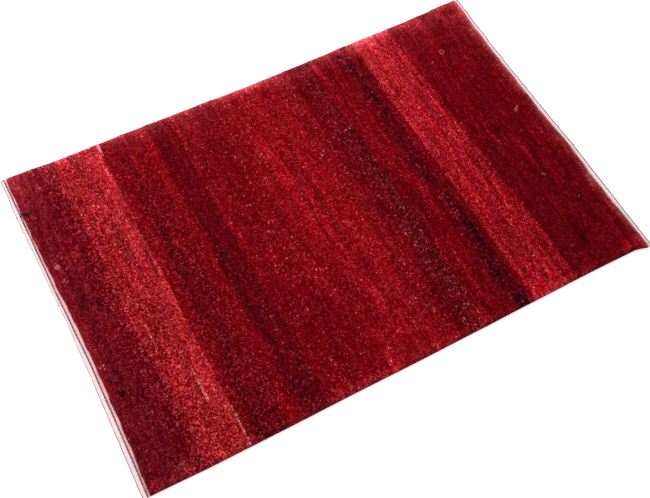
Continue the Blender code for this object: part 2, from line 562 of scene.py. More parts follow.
@dataclass(frozen=True)
class Band:
    """A stretch of the rug's length that was knotted from one basket of wools.

    far and near are the x of its left edge at the two long sides in mm, and blur is how ragged that edge is.
    A knot is the mix wool with a chance that runs from mix_left to mix_right across the band, and mix_near
    is added towards the near side. The other shares are single knots, which near_gain thickens towards the
    near side and thins towards the far one. streak is how strongly the yarns differ from row to row, grain
    how strongly one knot differs from the next, run how often a knot takes the yarn of the one before it in
    its row, and blotch how far the wools gather in patches. rim_sheen is how much painted light the band's
    rims get, and far_sheen how far and wide painted sheen lightens its far side.
    """

    far: float
    near: float
    blur: float
    ground: Dye
    mix: Dye
    mix_left: float
    mix_right: float
    mix_near: float = 0.0
    rose: float = 0.0
    pale: float = 0.0
    plum: float = 0.0
    black: float = 0.0
    olive: float = 0.0
    near_gain: float = 0.0
    streak: float = 1.0
    grain: float = 1.0
    run: float = 0.30
    blotch: float = 0.06
    # painted light: how much the band's rims are lightened, and how far painted sheen lightens its far side
    rim_sheen: float = 1.0
    far_sheen: float = 1.0


BANDS = (
    Band(-620, -620, 0, Dye.WINE, Dye.DUSKY, 0.56, 0.58, mix_near=-0.01, rose=0.014, pale=0.002, plum=0.05,
         streak=1.3, grain=1.05, run=0.45, blotch=0.13, rim_sheen=0.8, far_sheen=1.6),
    Band(-522, -500, 36, Dye.WINE, Dye.ROSE, 0.08, 0.30, rose=0.03, pale=0.010, run=0.05, rim_sheen=0.5,
         far_sheen=1.2),
    Band(-484, -466, 22, Dye.CRIMSON, Dye.CORAL, 0.43, 0.54, rose=0.03, pale=0.006, streak=1.2, grain=1.3,
         run=0.08, rim_sheen=0.4, far_sheen=0.5),
    Band(-412, -405, 26, Dye.RED, Dye.CORAL, 0.52, 0.70, mix_near=-0.03, pale=0.010, streak=1.6, grain=1.38,
         run=0.08, rim_sheen=0.35, far_sheen=0.4),
    Band(-377, -374, 3, Dye.CRIMSON, Dye.RED, 0.50, 0.50, rose=0.06, plum=0.08, black=0.04, near_gain=0.3,
         streak=1.2, grain=1.05, blotch=0.10, rim_sheen=0.7, far_sheen=0.6),
    Band(-350, -350, 20, Dye.CRIMSON, Dye.RED, 0.24, 0.18, mix_near=-0.06, rose=0.05, plum=0.09,
         black=0.105, olive=0.04, near_gain=0.75, grain=1.05, blotch=0.12, rim_sheen=0.75, far_sheen=0.7),
    Band(-282, -288, 14, Dye.CRIMSON, Dye.RED, 0.25, 0.25, rose=0.03, plum=0.05, black=0.03, near_gain=0.3,
         streak=1.2, rim_sheen=0.8, far_sheen=0.8),
    Band(-258, -258, 16, Dye.WINE, Dye.CRIMSON, 0.25, 0.20, rose=0.02, plum=0.06, black=0.12, olive=0.05,
         near_gain=0.5, grain=0.75, blotch=0.14, rim_sheen=0.9, far_sheen=0.9),
    Band(-236, -238, 14, Dye.WINE, Dye.CRIMSON, 0.22, 0.30, rose=0.03, plum=0.06, black=0.12, olive=0.06,
         near_gain=0.5, grain=0.75, blotch=0.14, rim_sheen=0.9, far_sheen=0.9),
    Band(-206, -206, 16, Dye.CRIMSON, Dye.WINE, 0.20, 0.15, mix_near=0.05, rose=0.04, pale=0.004,
         black=0.01),
    Band(-125, -120, 30, Dye.CRIMSON, Dye.RED, 0.18, 0.33, rose=0.038, pale=0.006, near_gain=0.1,
         grain=1.08, run=0.40, far_sheen=1.15),
    Band(-56, -50, 16, Dye.RED, Dye.CRIMSON, 0.13, 0.13, mix_near=0.04, rose=0.06, pale=0.003, streak=1.4,
         grain=1.12, run=0.50, rim_sheen=0.85, far_sheen=0.8),
    Band(58, 60, 8, Dye.CRIMSON, Dye.RED, 0.30, 0.12, rose=0.050, pale=0.010, near_gain=-0.1, grain=1.15),
    Band(98, 100, 8, Dye.WINE, Dye.CRIMSON, 0.45, 0.40, rose=0.03, black=0.05),
    Band(124, 126, 10, Dye.WINE, Dye.CRIMSON, 0.66, 0.76, rose=0.05, pale=0.015, black=0.165, olive=0.130,
         near_gain=0.15, grain=1.25),
    Band(158, 166, 10, Dye.WINE, Dye.CRIMSON, 0.45, 0.55, rose=0.01, black=0.04, near_gain=0.5, streak=1.6,
         run=0.6),
    Band(185, 193, 12, Dye.WINE, Dye.CRIMSON, 0.66, 0.70, rose=0.01, black=0.015, streak=1.6, run=0.6),
    Band(224, 230, 14, Dye.WINE, Dye.PLUM, 0.16, 0.28, rose=0.03, black=0.10, near_gain=0.15, streak=1.5,
         blotch=0.28, far_sheen=1.3),
    Band(236, 242, 14, Dye.WINE, Dye.PLUM, 0.36, 0.42, rose=0.03, black=0.33, near_gain=0.1, streak=1.5,
         grain=1.1, blotch=0.36, far_sheen=1.3),
    Band(258, 270, 14, Dye.WINE, Dye.CRIMSON, 0.56, 0.66, rose=0.02, plum=0.08, black=0.05, near_gain=0.5,
         streak=1.3, blotch=0.24, far_sheen=1.3),
    Band(282, 286, 1.5, Dye.SCARLET, Dye.CORAL, 0.38, 0.20, mix_near=-0.20, pale=0.003, streak=1.6,
         grain=1.2, rim_sheen=0.7, far_sheen=1.1),
    Band(335, 335, 30, Dye.RED, Dye.POPPY, 0.50, 0.20, mix_near=-0.17, pale=0.003, streak=1.6, grain=1.2,
         rim_sheen=0.7, far_sheen=1.1),
    Band(382, 397, 10, Dye.WINE, Dye.CRIMSON, 0.20, 0.38, mix_near=-0.10, rose=0.006, plum=0.02,
         streak=1.35, grain=0.8, run=0.60, blotch=0.10, rim_sheen=1.05, far_sheen=1.8),
    Band(563, 562, 10, Dye.CRIMSON, Dye.RUST, 0.03, 0.07, rose=0.03, black=0.02, olive=0.02, grain=0.9,
         blotch=0.10, rim_sheen=1.2, far_sheen=1.8),
)


def band_edges(side: np.ndarray | float) -> list[np.ndarray | float]:
    """The x of every band's left edge in mm, where side is -1 at the near side and 1 at the far one."""
    return [band.near + (band.far - band.near) * (side + 1) / 2 for band in BANDS]


def band_numbers(x: np.ndarray, side: np.ndarray | float) -> np.ndarray:
    """Finds the band at each place, with the bands' edges taken as clean lines.

    Args:
        x: places along the rug.
        side: their places across it, from -1 at the near side to 1 at the far one.

    Returns:
        The bands' numbers.
    """
    return np.sum([x / MM > edge for edge in band_edges(side)], axis=0) - 1


def of_bands(key: str, number: np.ndarray) -> np.ndarray:
    """Looks up one of the bands' values at each place.

    Args:
        key: the value's name.
        number: the bands' numbers.

    Returns:
        The values, with a wool as its linear colour.
    """
    values = [getattr(band, key) for band in BANDS]
    return np.array([value.linear if isinstance(value, Dye) else value for value in values])[number]


def mean_mix(number: np.ndarray) -> np.ndarray:
    """The share of the mix wool in each place's band, at its middle."""
    return (of_bands("mix_left", number) + of_bands("mix_right", number)) / 2


class Chart(Enum):
    """The small figures, charted in knots: G gold, K black, O olive, P pale and R rust."""

    RING = (".GGG.", "G...G", "G...G", "G..GG", ".GG..")
    STAR = ("G.PG.", ".GPPG", "PG.G.", ".GGPG", "..G..")
    BEAN = ("....GG", "..GGG.", ".GGG..", "GG.G..", "GGG...")
    SPOT = (".GO.", "GPGO", "OGGG", ".OG.")
    DOT = (".KKK.", "KKKKK", "KKKKK", "KKKK.", ".KKK.")
    EYE = (".KKK.", "KKPKK", "KPKKK", "KKKK.", ".KK..")
    BLOT = ("O.OO", "OOO.", ".OKO")
    SMEAR = ("..OOOO...", "KOKKKOOO.", "OKKKKKOKO", ".OOKKOO..", "...OO....")
    TUFT = ("..R.R.", ".RRRRR", "RRPRR.", ".RORR.", "..R.R.")
    MOSS = ("..O...", ".OROO.", "O.OKO.", ".OR.O.")


@dataclass(frozen=True)
class Figure:
    """A small figure and its place, in mm from the rug's middle."""

    chart: Chart
    x: float
    y: float


FIGURES = (
    Figure(Chart.STAR, -563, 134),
    Figure(Chart.RING, 467, 265),
    Figure(Chart.BEAN, 533, 38),
    Figure(Chart.SPOT, 484, -149),
    Figure(Chart.DOT, -550, -192),
    Figure(Chart.SMEAR, -574, 286),
    Figure(Chart.DOT, 517, 348),
    Figure(Chart.DOT, 459, 4),
    Figure(Chart.DOT, 462, -321),
    Figure(Chart.EYE, 520, -232),
    Figure(Chart.BLOT, 482, 121),
    Figure(Chart.BLOT, 551, 129),
    Figure(Chart.TUFT, -513, -378),
    Figure(Chart.TUFT, -505, -371),
    Figure(Chart.MOSS, -468, -385),
    Figure(Chart.TUFT, 568, -195),
    Figure(Chart.TUFT, 566, -208),
    Figure(Chart.TUFT, 566, -221),
    Figure(Chart.TUFT, 569, 289),
    Figure(Chart.TUFT, 568, 276),
    Figure(Chart.MOSS, 563, 211),
    Figure(Chart.MOSS, 562, 186),
    Figure(Chart.MOSS, -482, 370),
)


@dataclass(frozen=True)
class Streak:
    """A row where a paler yarn ran for a while: its x, its two ends in y, in mm, and its wool."""

    x: float
    start: float
    stop: float
    wool: Dye


STREAKS = (
    Streak(-376, 160, 300, Dye.ROSE),
    Streak(-374, -400, -310, Dye.SALMON),
    Streak(-409, -282, -205, Dye.SALMON),
    Streak(-453, -108, -72, Dye.SALMON),
    Streak(-373, 355, 396, Dye.SALMON),
    Streak(-321, 172, 196, Dye.ROSE),
    Streak(483, -142, -60, Dye.SCARLET),
    Streak(497, -280, -205, Dye.SCARLET),
    Streak(461, -80, -18, Dye.RED),
)


@dataclass(frozen=True)
class Rim:
    """The rounded edge of the pile, in section.

    cells is how many knots it takes. out is how far each point leans over the pile's foot and height is how
    high it stands, in mm, from the clipped top to the underside of the overhang.
    """

    cells: int
    out: tuple[float, ...]
    height: tuple[float, ...]

    def at(self, cells: np.ndarray) -> tuple[np.ndarray, np.ndarray]:
        """Reads the section.

        Args:
            cells: how many knots a point lies in from the foot, along the surface.

        Returns:
            How far it leans out over the foot and how far it lies below the clipped top, in metres.
        """
        out, height = np.asarray(self.out) * MM, np.asarray(self.height) * MM
        run = np.concatenate([[0], np.cumsum(np.hypot(np.diff(out), np.diff(height)))])
        place = (1 - np.clip(cells / self.cells, 0, 1)) * run[-1]
        return np.interp(place, run, out), height[0] - np.interp(place, run, height)


class Edge(Enum):
    """The pile's edges: the axis that leads in from each, and whether it is counted backwards."""

    LEFT = (0, False)
    RIGHT = (0, True)
    NEAR = (1, False)
    FAR = (1, True)

    def depth(self, shape: tuple[int, int]) -> np.ndarray:
        """How many knots each knot of a field lies in from the edge.

        Args:
            shape: the field's columns and rows.

        Returns:
            The depths, by column and row.
        """
        axis, backwards = self.value
        place = np.indices(shape)[axis]
        return shape[axis] - 1 - place if backwards else place


@dataclass(frozen=True)
class PaintedRimLight:
    """Painted light along one edge of the pile, where its rim catches the light.

    amount is how much painted light the outermost knots gain, reach how many knots further in that has
    halved, fall how sharply it ends and painted_veil how much pale painted sheen comes with it. slant is
    added to amount towards the far side and taken off it towards the near one.
    """

    edge: Edge
    amount: float
    reach: float
    fall: float
    painted_veil: float
    slant: float = 0.0


# painted light on the pile's rims, far, near, left and right, where they catch the light
PAINTED_RIM_LIGHTS = (
    PaintedRimLight(Edge.FAR, 1.5, 6.0, 3.5, 1.5),
    PaintedRimLight(Edge.NEAR, 0.75, 5.6, 4.0, 0.45),
    PaintedRimLight(Edge.NEAR, 0.16, 14.0, 2.4, 0.0),
    PaintedRimLight(Edge.LEFT, 0.35, 3.5, 3.0, 0.8),
    PaintedRimLight(Edge.RIGHT, 0.85, 6.0, 4.0, 1.0, slant=0.4),
)


@dataclass(frozen=True)
class PaintedSheen:
    """Painted sheen and painted light on the pile: a wide lightening in from the far side, where the pile
    catches the light, and the lighter rims in PAINTED_RIM_LIGHTS.

    The far_sheen values are how a far_sheen of 1 lightens, as a rim light's are. The painted light comes and
    goes in patches, within sheen_patch_range, and never passes most_painted_light and most_painted_veil.
    Where light is painted, the wool also gains painted_veil_tint of its red, as a pale painted sheen.
    """

    far_sheen_amount: float = 0.5
    far_sheen_reach: float = 14
    far_sheen_fall: float = 3
    far_sheen_veil: float = 0.5
    patches: NoiseLayers = ((0.35, (26, 9)),)
    sheen_patch_range: tuple[float, float] = (0.4, 1.6)
    most_painted_light: float = 2.2
    most_painted_veil: float = 2.0
    painted_veil_tint: tuple[float, float, float] = (0, 0.11, 0.12)

    def with_painted_light(self, colour: np.ndarray, number: np.ndarray, rng: np.random.Generator) -> np.ndarray:
        """Paints sheen and light on the knots.

        Args:
            colour: the knots' linear colours, by column and row.
            number: the knots' bands.
            rng: where the patches come from.

        Returns:
            The knots' new colours.
        """
        shape, rim_sheen, far_sheen = number.shape, of_bands("rim_sheen", number), of_bands("far_sheen", number)
        patch = np.clip(1 + layered_noise(rng, shape, self.patches), *self.sheen_patch_range)
        reach = self.far_sheen_reach * far_sheen
        # painted sheen, lightening the pile in from the far side
        painted_light = ebbing(self.far_sheen_amount * far_sheen, Edge.FAR.depth(shape), reach, self.far_sheen_fall)
        painted_veil = self.far_sheen_veil * painted_light
        across = 2 * Edge.NEAR.depth(shape) / shape[1] - 1
        # painted light on each rim of the pile
        for rim_light in PAINTED_RIM_LIGHTS:
            amount = rim_sheen * (rim_light.amount + rim_light.slant * across)
            rim = ebbing(amount, rim_light.edge.depth(shape), rim_light.reach, rim_light.fall)
            painted_light = painted_light + rim
            painted_veil = painted_veil + rim_light.painted_veil * rim
        painted_light = np.minimum(painted_light * patch, self.most_painted_light)[..., None]
        painted_veil = np.minimum(painted_veil * patch, self.most_painted_veil)[..., None]
        # the painted light, with its pale painted sheen on top
        return colour * (1 + painted_light) + painted_veil * colour[..., :1] * np.array(self.painted_veil_tint)


# wool that is tied in as single knots, each by the share of that name in its band
SINGLE_WOOLS = (Dye.ROSE, Dye.PALE, Dye.PLUM, Dye.BLACK, Dye.OLIVE)

# the letters of the charts
CHART_WOOLS = {"G": Dye.GOLD, "K": Dye.BLACK, "O": Dye.OLIVE, "P": Dye.PALE, "R": Dye.RUST}

# how a row of knots wanders: the size of each wave, its turns across and along the rug, and its start
ROW_WAVES = ((0.5, 5.1, 2.3, 0.6), (0.3, 13.0, -4.0, 1.1), (0.2, 31.0, 9.0, 2.0))


@dataclass(frozen=True)
class YarnVariety:
    """How far the wools differ from knot to knot and place to place, over what the bands say.

    patches gather the wools, rows thicken the single knots along a row, row_clouds and wide_clouds are
    lighter and darker yarns, and warmth turns them warmer and cooler. clump_grain is the part of a knot's
    lightness that it shares with its clump, and painted_sheen_tint the pale painted sheen added to the
    lightest knots.
    """

    patches: NoiseLayers = ((0.5, (4, 11)), (0.7, (9, 26)))
    patch_pull: float = 0.15
    blotch_pull: float = 1.6
    rows: NoiseLayers = ((0.22, (2.5, 70)),)
    row_clouds: NoiseLayers = ((0.08, (1.0, 14)), (0.13, (2.8, 34)))
    wide_clouds: NoiseLayers = ((0.04, (7, 12)), (0.06, (30, 60)))
    warmth: NoiseLayers = ((0.035, (10, 16)), (0.02, (2, 2)))
    grain: float = 0.225
    clump_grain: float = 0.07
    contrast: float = 0.85
    painted_sheen_tint: tuple[float, float, float] = (0.13, 0.12, 0.155)
    single_spread: float = 0.22
    streak_spread: float = 0.15
    streak_cover: float = 0.85
    figure_spread: float = 0.12
    figure_cover: float = 0.84


@dataclass(frozen=True)
class BakeSheet:
    """Where a strip's faces lie on its bake map: its top, then its walls and its floor in thin rows above."""

    folds: int = 3
    margin: float = 0.004
    width: float = 0.992
    top: float = 0.960
    wall: float = 0.985
    floor: float = 0.988
    row: float = 0.010

    def places(self, columns: int, rows: int, at: np.ndarray, cell: np.ndarray) -> np.ndarray:
        """Lays a strip out on the map, its top cut in equal lengths that are stacked.

        Args:
            columns: the strip's columns.
            rows: its rows.
            at: each corner's column, row and level, which is below zero at the underside.
            cell: the middle of each corner's face, in the same measures.

        Returns:
            The corners' places on the map.
        """
        length = columns / self.folds
        fold = np.minimum(cell[:, 0] // length, self.folds - 1)
        top_u = self.margin + self.width * (at[:, 0] - fold * length) / length
        top_v = self.margin + self.top * (fold * rows + at[:, 1]) / (self.folds * rows)
        low_u = (at[:, 0] + at[:, 1] / 2) / (columns + rows / 2)
        wall_v = self.wall - self.row * (at[:, 2] < -0.5)
        floor_v = self.floor + self.row * at[:, 1] / rows
        is_wall, is_floor = cell[:, 2] < -0.25, cell[:, 2] < -0.75
        place_v = np.where(is_floor, floor_v, np.where(is_wall, wall_v, top_v))
        return np.stack([np.where(is_wall, low_u, top_u), place_v], 1)


@dataclass
class KnotField:
    """The pile: one tuft for each knot, in four strips that meet along the length.

    valley and tip are how far the tufts' feet lie under the clipped surface and their tips over it, and nap
    how far the tips lean to the left. The shakes are how far feet and tips stray from their places, and
    wander how far a whole row does. far_shy and the ripples are how far the pile's edges draw in and wave.
    last_edge is the x in mm where the last band ends. mingle is how much of a knot's look its neighbours
    give, pepper the side in knots of the squares in which single knots keep apart, and follow_shares how
    often one is the same as its neighbour along each axis. tip_painted_light and valley_painted_shade are
    painted light on the tips and painted shade at the feet between the tufts, as multiples of the dye.
    bare_warps tells how far, and how many knots in, the undyed warps show at an end.
    """

    columns: int = 459
    rows: int = 312
    strips: int = 4
    height: float = 11.0 * MM
    top_inset: float = 6.0 * MM
    base: float = 3.0 * MM
    corner_round: float = 2.4 * MM
    valley: float = 1.0 * MM
    valley_shake: float = 0.35 * MM
    tip: float = 0.6 * MM
    tip_shake: float = 0.42 * MM
    tip_spread: float = 0.32 * MM
    nap: float = 0.45 * MM
    clumps: NoiseLayers = ((1.0, (1.7, 1.7)), (0.4, (3.4, 4.2)))
    clump_height: float = 0.22 * MM
    hills: NoiseLayers = ((0.35 * MM, (38, 30)),)
    wander: float = 1.6 * MM
    end_ripple: float = 1.5 * MM
    end_phases: tuple[float, float] = (0.4, 2.9)
    side_ripple: float = 1.0 * MM
    side_phases: tuple[float, float] = (1.7, 4.4)
    far_shy: float = 0.9 * MM
    end_rim: Rim = Rim(5, (-6.0, -3.2, -1.2, -0.2, -0.1, -0.3), (11.0, 10.6, 9.2, 7.2, 5.2, 4.6))
    side_rim: Rim = Rim(6, (-6.0, -2.5, 0.4, 2.6, 3.8, 3.4, 0.2), (11.0, 10.6, 9.4, 7.6, 5.6, 4.8, 4.6))
    last_edge: float = 600.0
    mingle: float = 0.20
    pepper: int = 3
    follow_shares: tuple[float, float] = (0.12, 0.20)
    # painted light on each tuft's tip and painted shade at its feet, between the tufts
    tip_painted_light: float = 1.22
    valley_painted_shade: float = 0.50
    bare_warps: tuple[tuple[Edge, float, float], ...] = ((Edge.LEFT, 0.02, 1.5), (Edge.RIGHT, 0.11, 3.0))
    variety: YarnVariety = YarnVariety()
    bake_sheet: BakeSheet = BakeSheet()
    rng: np.random.Generator = field(default_factory=lambda: np.random.default_rng(41))
    clump: np.ndarray = field(init=False)
    valleys: np.ndarray = field(init=False)
    tips: np.ndarray = field(init=False)

    def surface(self, u: np.ndarray, v: np.ndarray) -> np.ndarray:
        """The clipped surface, wrapped down round the rim.

        Args:
            u: columns from the left end.
            v: rows from the near side.

        Returns:
            The points, with x, y and z last.
        """
        from_end, from_side = np.minimum(u, self.columns - u), np.minimum(v, self.rows - v)
        ends, sides = self.end_rim.cells, self.side_rim.cells
        along = np.clip((u - ends) / (self.columns - 2 * ends), 0, 1) * 2 - 1
        across = np.clip((v - sides) / (self.rows - 2 * sides), 0, 1) * 2 - 1
        out_x, drop_x = self.end_rim.at(from_end)
        out_y, drop_y = self.side_rim.at(from_side)
        left = OUTLINE.pile_end(-1, across) + self.top_inset
        right = OUTLINE.pile_end(1, across) - self.top_inset
        near = OUTLINE.pile_side(-1, along) + self.top_inset
        far = OUTLINE.pile_side(1, along) - self.top_inset
        left = left - self.end_ripple * self.ripple(across, OUTLINE.half_width, self.end_phases[0])
        right = right + self.end_ripple * self.ripple(across, OUTLINE.half_width, self.end_phases[1])
        near = near - self.side_ripple * self.ripple(along, OUTLINE.half_length, self.side_phases[0])
        far = far + self.side_ripple * self.ripple(along, OUTLINE.half_length, self.side_phases[1])
        far = far - self.far_shy
        corner = (1 - np.clip(from_end / ends, 0, 1)) * (1 - np.clip(from_side / sides, 0, 1))
        reach_x = self.top_inset + out_x - self.corner_round * corner
        reach_y = self.top_inset + out_y - self.corner_round * corner
        x = left + (right - left) * (along + 1) / 2 + np.sign(u - self.columns / 2) * reach_x
        x = x + self.wander * np.sin(math.pi * (along + 1) / 2) * self.row_path(along, across)
        y = near + (far - near) * (across + 1) / 2 + np.sign(v - self.rows / 2) * reach_y
        drop = np.minimum(np.hypot(drop_x, drop_y), self.height - self.end_rim.height[-1] * MM)
        return np.stack([x, y, self.height - drop], -1)

    @staticmethod
    def ripple(share: np.ndarray, half: float, phase: float) -> np.ndarray:
        """How an edge bulges and draws in every few centimetres.

        Args:
            share: places along the edge, from -1 to 1.
            half: half of the edge's length.
            phase: where its waves start.

        Returns:
            The bulge, from -1 to 1.
        """
        slow, middle, quick = 43, 11.5, 5.2  # the waves' lengths, in mm a radian
        place = share * half / MM
        wide = 0.5 * np.sin(place / middle + phase) * (1 + 0.5 * np.sin(place / slow + 2 * phase))
        return wide + 0.25 * np.sin(place / quick + 3 * phase)

    @staticmethod
    def row_path(along: np.ndarray, across: np.ndarray) -> np.ndarray:
        """How a row of knots wanders to the left and right as it crosses the rug, from -1 to 1."""
        return sum(size * np.sin(a * across + b * along + start) for size, a, b, start in ROW_WAVES)

    def normals(self, u: np.ndarray, v: np.ndarray) -> np.ndarray:
        """Finds the way up from the surface, by small steps along it.

        Args:
            u: columns from the left end.
            v: rows from the near side.

        Returns:
            A unit vector for each point.
        """
        step = 0.35
        du = self.surface(u + step, v) - self.surface(u - step, v)
        dv = self.surface(u, v + step) - self.surface(u, v - step)
        up = np.cross(du, dv)
        return up / np.maximum(np.linalg.norm(up, axis=-1), 1e-12)[..., None]

    def lay_out(self) -> None:
        """Places every valley between the knots and every tuft's tip."""
        u, v = np.meshgrid(np.arange(self.columns + 1.0), np.arange(self.rows + 1.0), indexing="ij")
        at, up = self.surface(u, v), self.normals(u, v)
        inside = np.minimum(np.minimum(u, self.columns - u), np.minimum(v, self.rows - v)) > 0
        shift = self.rng.uniform(-1, 1, at.shape) * self.valley_shake
        self.clump = layered_noise(self.rng, u.shape, self.clumps)
        swell = layered_noise(self.rng, u.shape, self.hills) + self.clump_height * self.clump
        valley = at - up * self.valley + shift
        valley[..., 2] += swell
        self.valleys = np.where(inside[..., None], valley, at)
        u, v = u[:-1, :-1] + 0.5, v[:-1, :-1] + 0.5
        at, up = self.surface(u, v), self.normals(u, v)
        rise = self.tip + self.rng.normal(size=u.shape) * self.tip_spread
        shift = self.rng.uniform(-1, 1, at.shape) * self.tip_shake
        shift[..., 0] -= self.nap
        self.tips = at + up * rise[..., None] + shift
        self.tips[..., 2] += swell[:-1, :-1]

    def bands_at(self, x: np.ndarray, side: np.ndarray) -> tuple[np.ndarray, np.ndarray]:
        """Finds which band each knot lies in, with every edge ragged from knot to knot and row to row.

        Args:
            x: the knots' places along the rug, in mm.
            side: their places across it, from -1 at the near side to 1 at the far one.

        Returns:
            The band's number, and how far across the band the knot lies, from 0 to 1.
        """
        calmest = 0.4  # the least share of its chance that a knot strays by
        waver_rows = 22
        edges = band_edges(side)
        chance = self.rng.uniform(-0.5, 0.5, x.shape) * self.rng.uniform(calmest, 1, x.shape)
        waver = smooth_noise(self.rng, (len(BANDS) + 1, x.shape[1]), (1, waver_rows))
        number = np.zeros(x.shape, int)
        for k, band in enumerate(BANDS[1:], 1):
            ragged = band.blur * chance + (0.5 + 0.08 * band.blur) * waver[k][None, :]
            number += x > edges[k] + ragged
        left = np.choose(number, edges)
        right = np.choose(number, edges[1:] + [np.full(x.shape, self.last_edge)])
        return number, np.clip((x - left) / np.maximum(right - left, 1), 0, 1)

    def ground_wools(
        self, number: np.ndarray, through: np.ndarray, side: np.ndarray, patch: np.ndarray
    ) -> np.ndarray:
        """Chooses between each band's ground wool and its mix wool, knot by knot.

        Args:
            number: the knots' bands.
            through: how far across its band each knot lies.
            side: the knots' places across the rug, from -1 to 1.
            patch: where the wools gather.

        Returns:
            The knots' linear colours.
        """
        left, right = of_bands("mix_left", number), of_bands("mix_right", number)
        share = left + (right - left) * through - of_bands("mix_near", number) * side
        share = share + of_bands("blotch", number) * patch
        is_mix = self.runs(of_bands("run", number)) < share
        return np.where(is_mix[..., None], of_bands("mix", number), of_bands("ground", number))

    def single_wools(
        self, number: np.ndarray, side: np.ndarray, patch: np.ndarray
    ) -> tuple[np.ndarray, np.ndarray]:
        """Ties single knots of other wools in.

        Args:
            number: the knots' bands.
            side: the knots' places across the rug, from -1 to 1.
            patch: where the wools gather.

        Returns:
            The single knots' linear colours, black elsewhere, and 1 where there is one.
        """
        variety = self.variety
        thick = 1 - of_bands("near_gain", number) * side
        thick = thick + (variety.patch_pull + variety.blotch_pull * of_bands("blotch", number)) * patch
        thick = thick + layered_noise(self.rng, number.shape, variety.rows)
        draw, start = self.grouped(number.shape), np.zeros(number.shape)
        single, cover = np.zeros((*number.shape, 3)), np.zeros(number.shape)
        for wool in SINGLE_WOOLS:
            stop = start + of_bands(wool.name.lower(), number) * np.maximum(thick, 0)
            self.tie(single, cover, (draw >= start) & (draw < stop), wool, variety.single_spread)
            start = stop
        return single, cover

    def tie(self, single: np.ndarray, cover: np.ndarray, tied: np.ndarray, wool: Dye, spread: float) -> None:
        """Ties one wool in among the single knots.

        Args:
            single: the single knots' colours.
            cover: 1 where there is a single knot.
            tied: where the wool goes.
            wool: the wool.
            spread: how far its knots differ in lightness, as a power of e.
        """
        single[tied] = wool.linear * np.exp(self.rng.normal(size=(tied.sum(), 1)) * spread)
        cover[tied] = 1

    def shaded(self, colour: np.ndarray, number: np.ndarray) -> np.ndarray:
        """Makes each knot lighter, darker, warmer or cooler than its dye, by itself and in clouds, and paints
        a pale sheen on the lightest.

        Args:
            colour: the knots' linear colours.
            number: the knots' bands.

        Returns:
            The knots' new colours.
        """
        variety, shape = self.variety, number.shape
        knot = self.rng.normal(size=shape) * variety.grain + variety.clump_grain * self.clump[:-1, :-1]
        grain = knot * of_bands("grain", number)
        clouds = of_bands("streak", number) * layered_noise(self.rng, shape, variety.row_clouds)
        clouds = clouds + layered_noise(self.rng, shape, variety.wide_clouds)
        colour = colour * np.exp(variety.contrast * (grain + clouds))[..., None]
        # painted sheen: the lightest knots gain a pale tint of their red
        colour = colour + (np.maximum(grain, 0) * colour[..., 0])[..., None] * np.array(variety.painted_sheen_tint)
        warmth = layered_noise(self.rng, shape, variety.warmth)
        colour[..., 1:] *= np.exp(np.stack([-warmth, warmth], -1))
        return colour

    def wools(self) -> np.ndarray:
        """Chooses each knot's wool by its band, ties in the rest, and paints sheen and lighter rims on them.

        Returns:
            The knots' linear colours, by column and row.
        """
        x, y = self.tips[..., 0] / MM, self.tips[..., 1] / MM
        side = np.clip(y / (OUTLINE.half_width / MM), -1, 1)
        number, through = self.bands_at(x, side)
        patch = layered_noise(self.rng, x.shape, self.variety.patches)
        colour = self.ground_wools(number, through, side, patch)
        single, cover = self.single_wools(number, side, patch)
        self.tie_streaks(single, cover, x, y)
        self.tie_figures(single, cover, x, y)
        single, cover = self.mingled(single), self.mingled(cover)[..., None]
        colour = self.shaded(colour * (1 - cover) + single, number)
        # painted sheen and painted light on the rims and the far side
        colour = PaintedSheen().with_painted_light(colour, number, self.rng)
        bare = self.bare(x.shape)[..., None]
        return colour * (1 - bare) + Dye.UNDYED.linear * bare

    def mingled(self, values: np.ndarray) -> np.ndarray:
        """Lets each yarn's cut ends mingle with its neighbours'.

        Args:
            values: what each knot would show by itself.

        Returns:
            What each knot shows.
        """
        padded = np.pad(values, [(1, 1), (1, 1)] + [(0, 0)] * (values.ndim - 2), mode="edge")
        beside = padded[:-2, 1:-1] + padded[2:, 1:-1] + padded[1:-1, :-2] + padded[1:-1, 2:]
        return (1 - self.mingle) * values + self.mingle / 4 * beside

    def bare(self, shape: tuple[int, int]) -> np.ndarray:
        """How far the undyed warps show between the last knots at each end."""
        return sum(ebbing(share, edge.depth(shape), reach, 4) for edge, share, reach in self.bare_warps)

    def runs(self, keep: np.ndarray) -> np.ndarray:
        """Chances that run on along each row of knots, as a knotter uses up a length of yarn.

        Args:
            keep: how often each knot takes the yarn of the one before it.

        Returns:
            A chance for each knot.
        """
        chance, follows = self.rng.random(keep.shape), self.rng.random(keep.shape) < keep
        for row in range(1, keep.shape[1]):
            chance[:, row] = np.where(follows[:, row], chance[:, row - 1], chance[:, row])
        return chance

    def grouped(self, shape: tuple[int, int]) -> np.ndarray:
        """Draws chances so evenly that single knots keep apart, though a few neighbours share one.

        Args:
            shape: the knots' columns and rows.

        Returns:
            A chance for each knot.
        """
        i, j = np.indices(shape)
        cell = self.pepper
        order = self.rng.random((shape[0] // cell + 1, shape[1] // cell + 1, cell * cell)).argsort(axis=2)
        rank = order[i // cell, j // cell, i % cell * cell + j % cell]
        chance = (rank + self.rng.random(shape)) / cell ** 2
        for axis, share in enumerate(self.follow_shares):
            follows = self.rng.random(shape) < share
            chance = np.where(follows, np.roll(chance, 1, axis=axis), chance)
        return chance

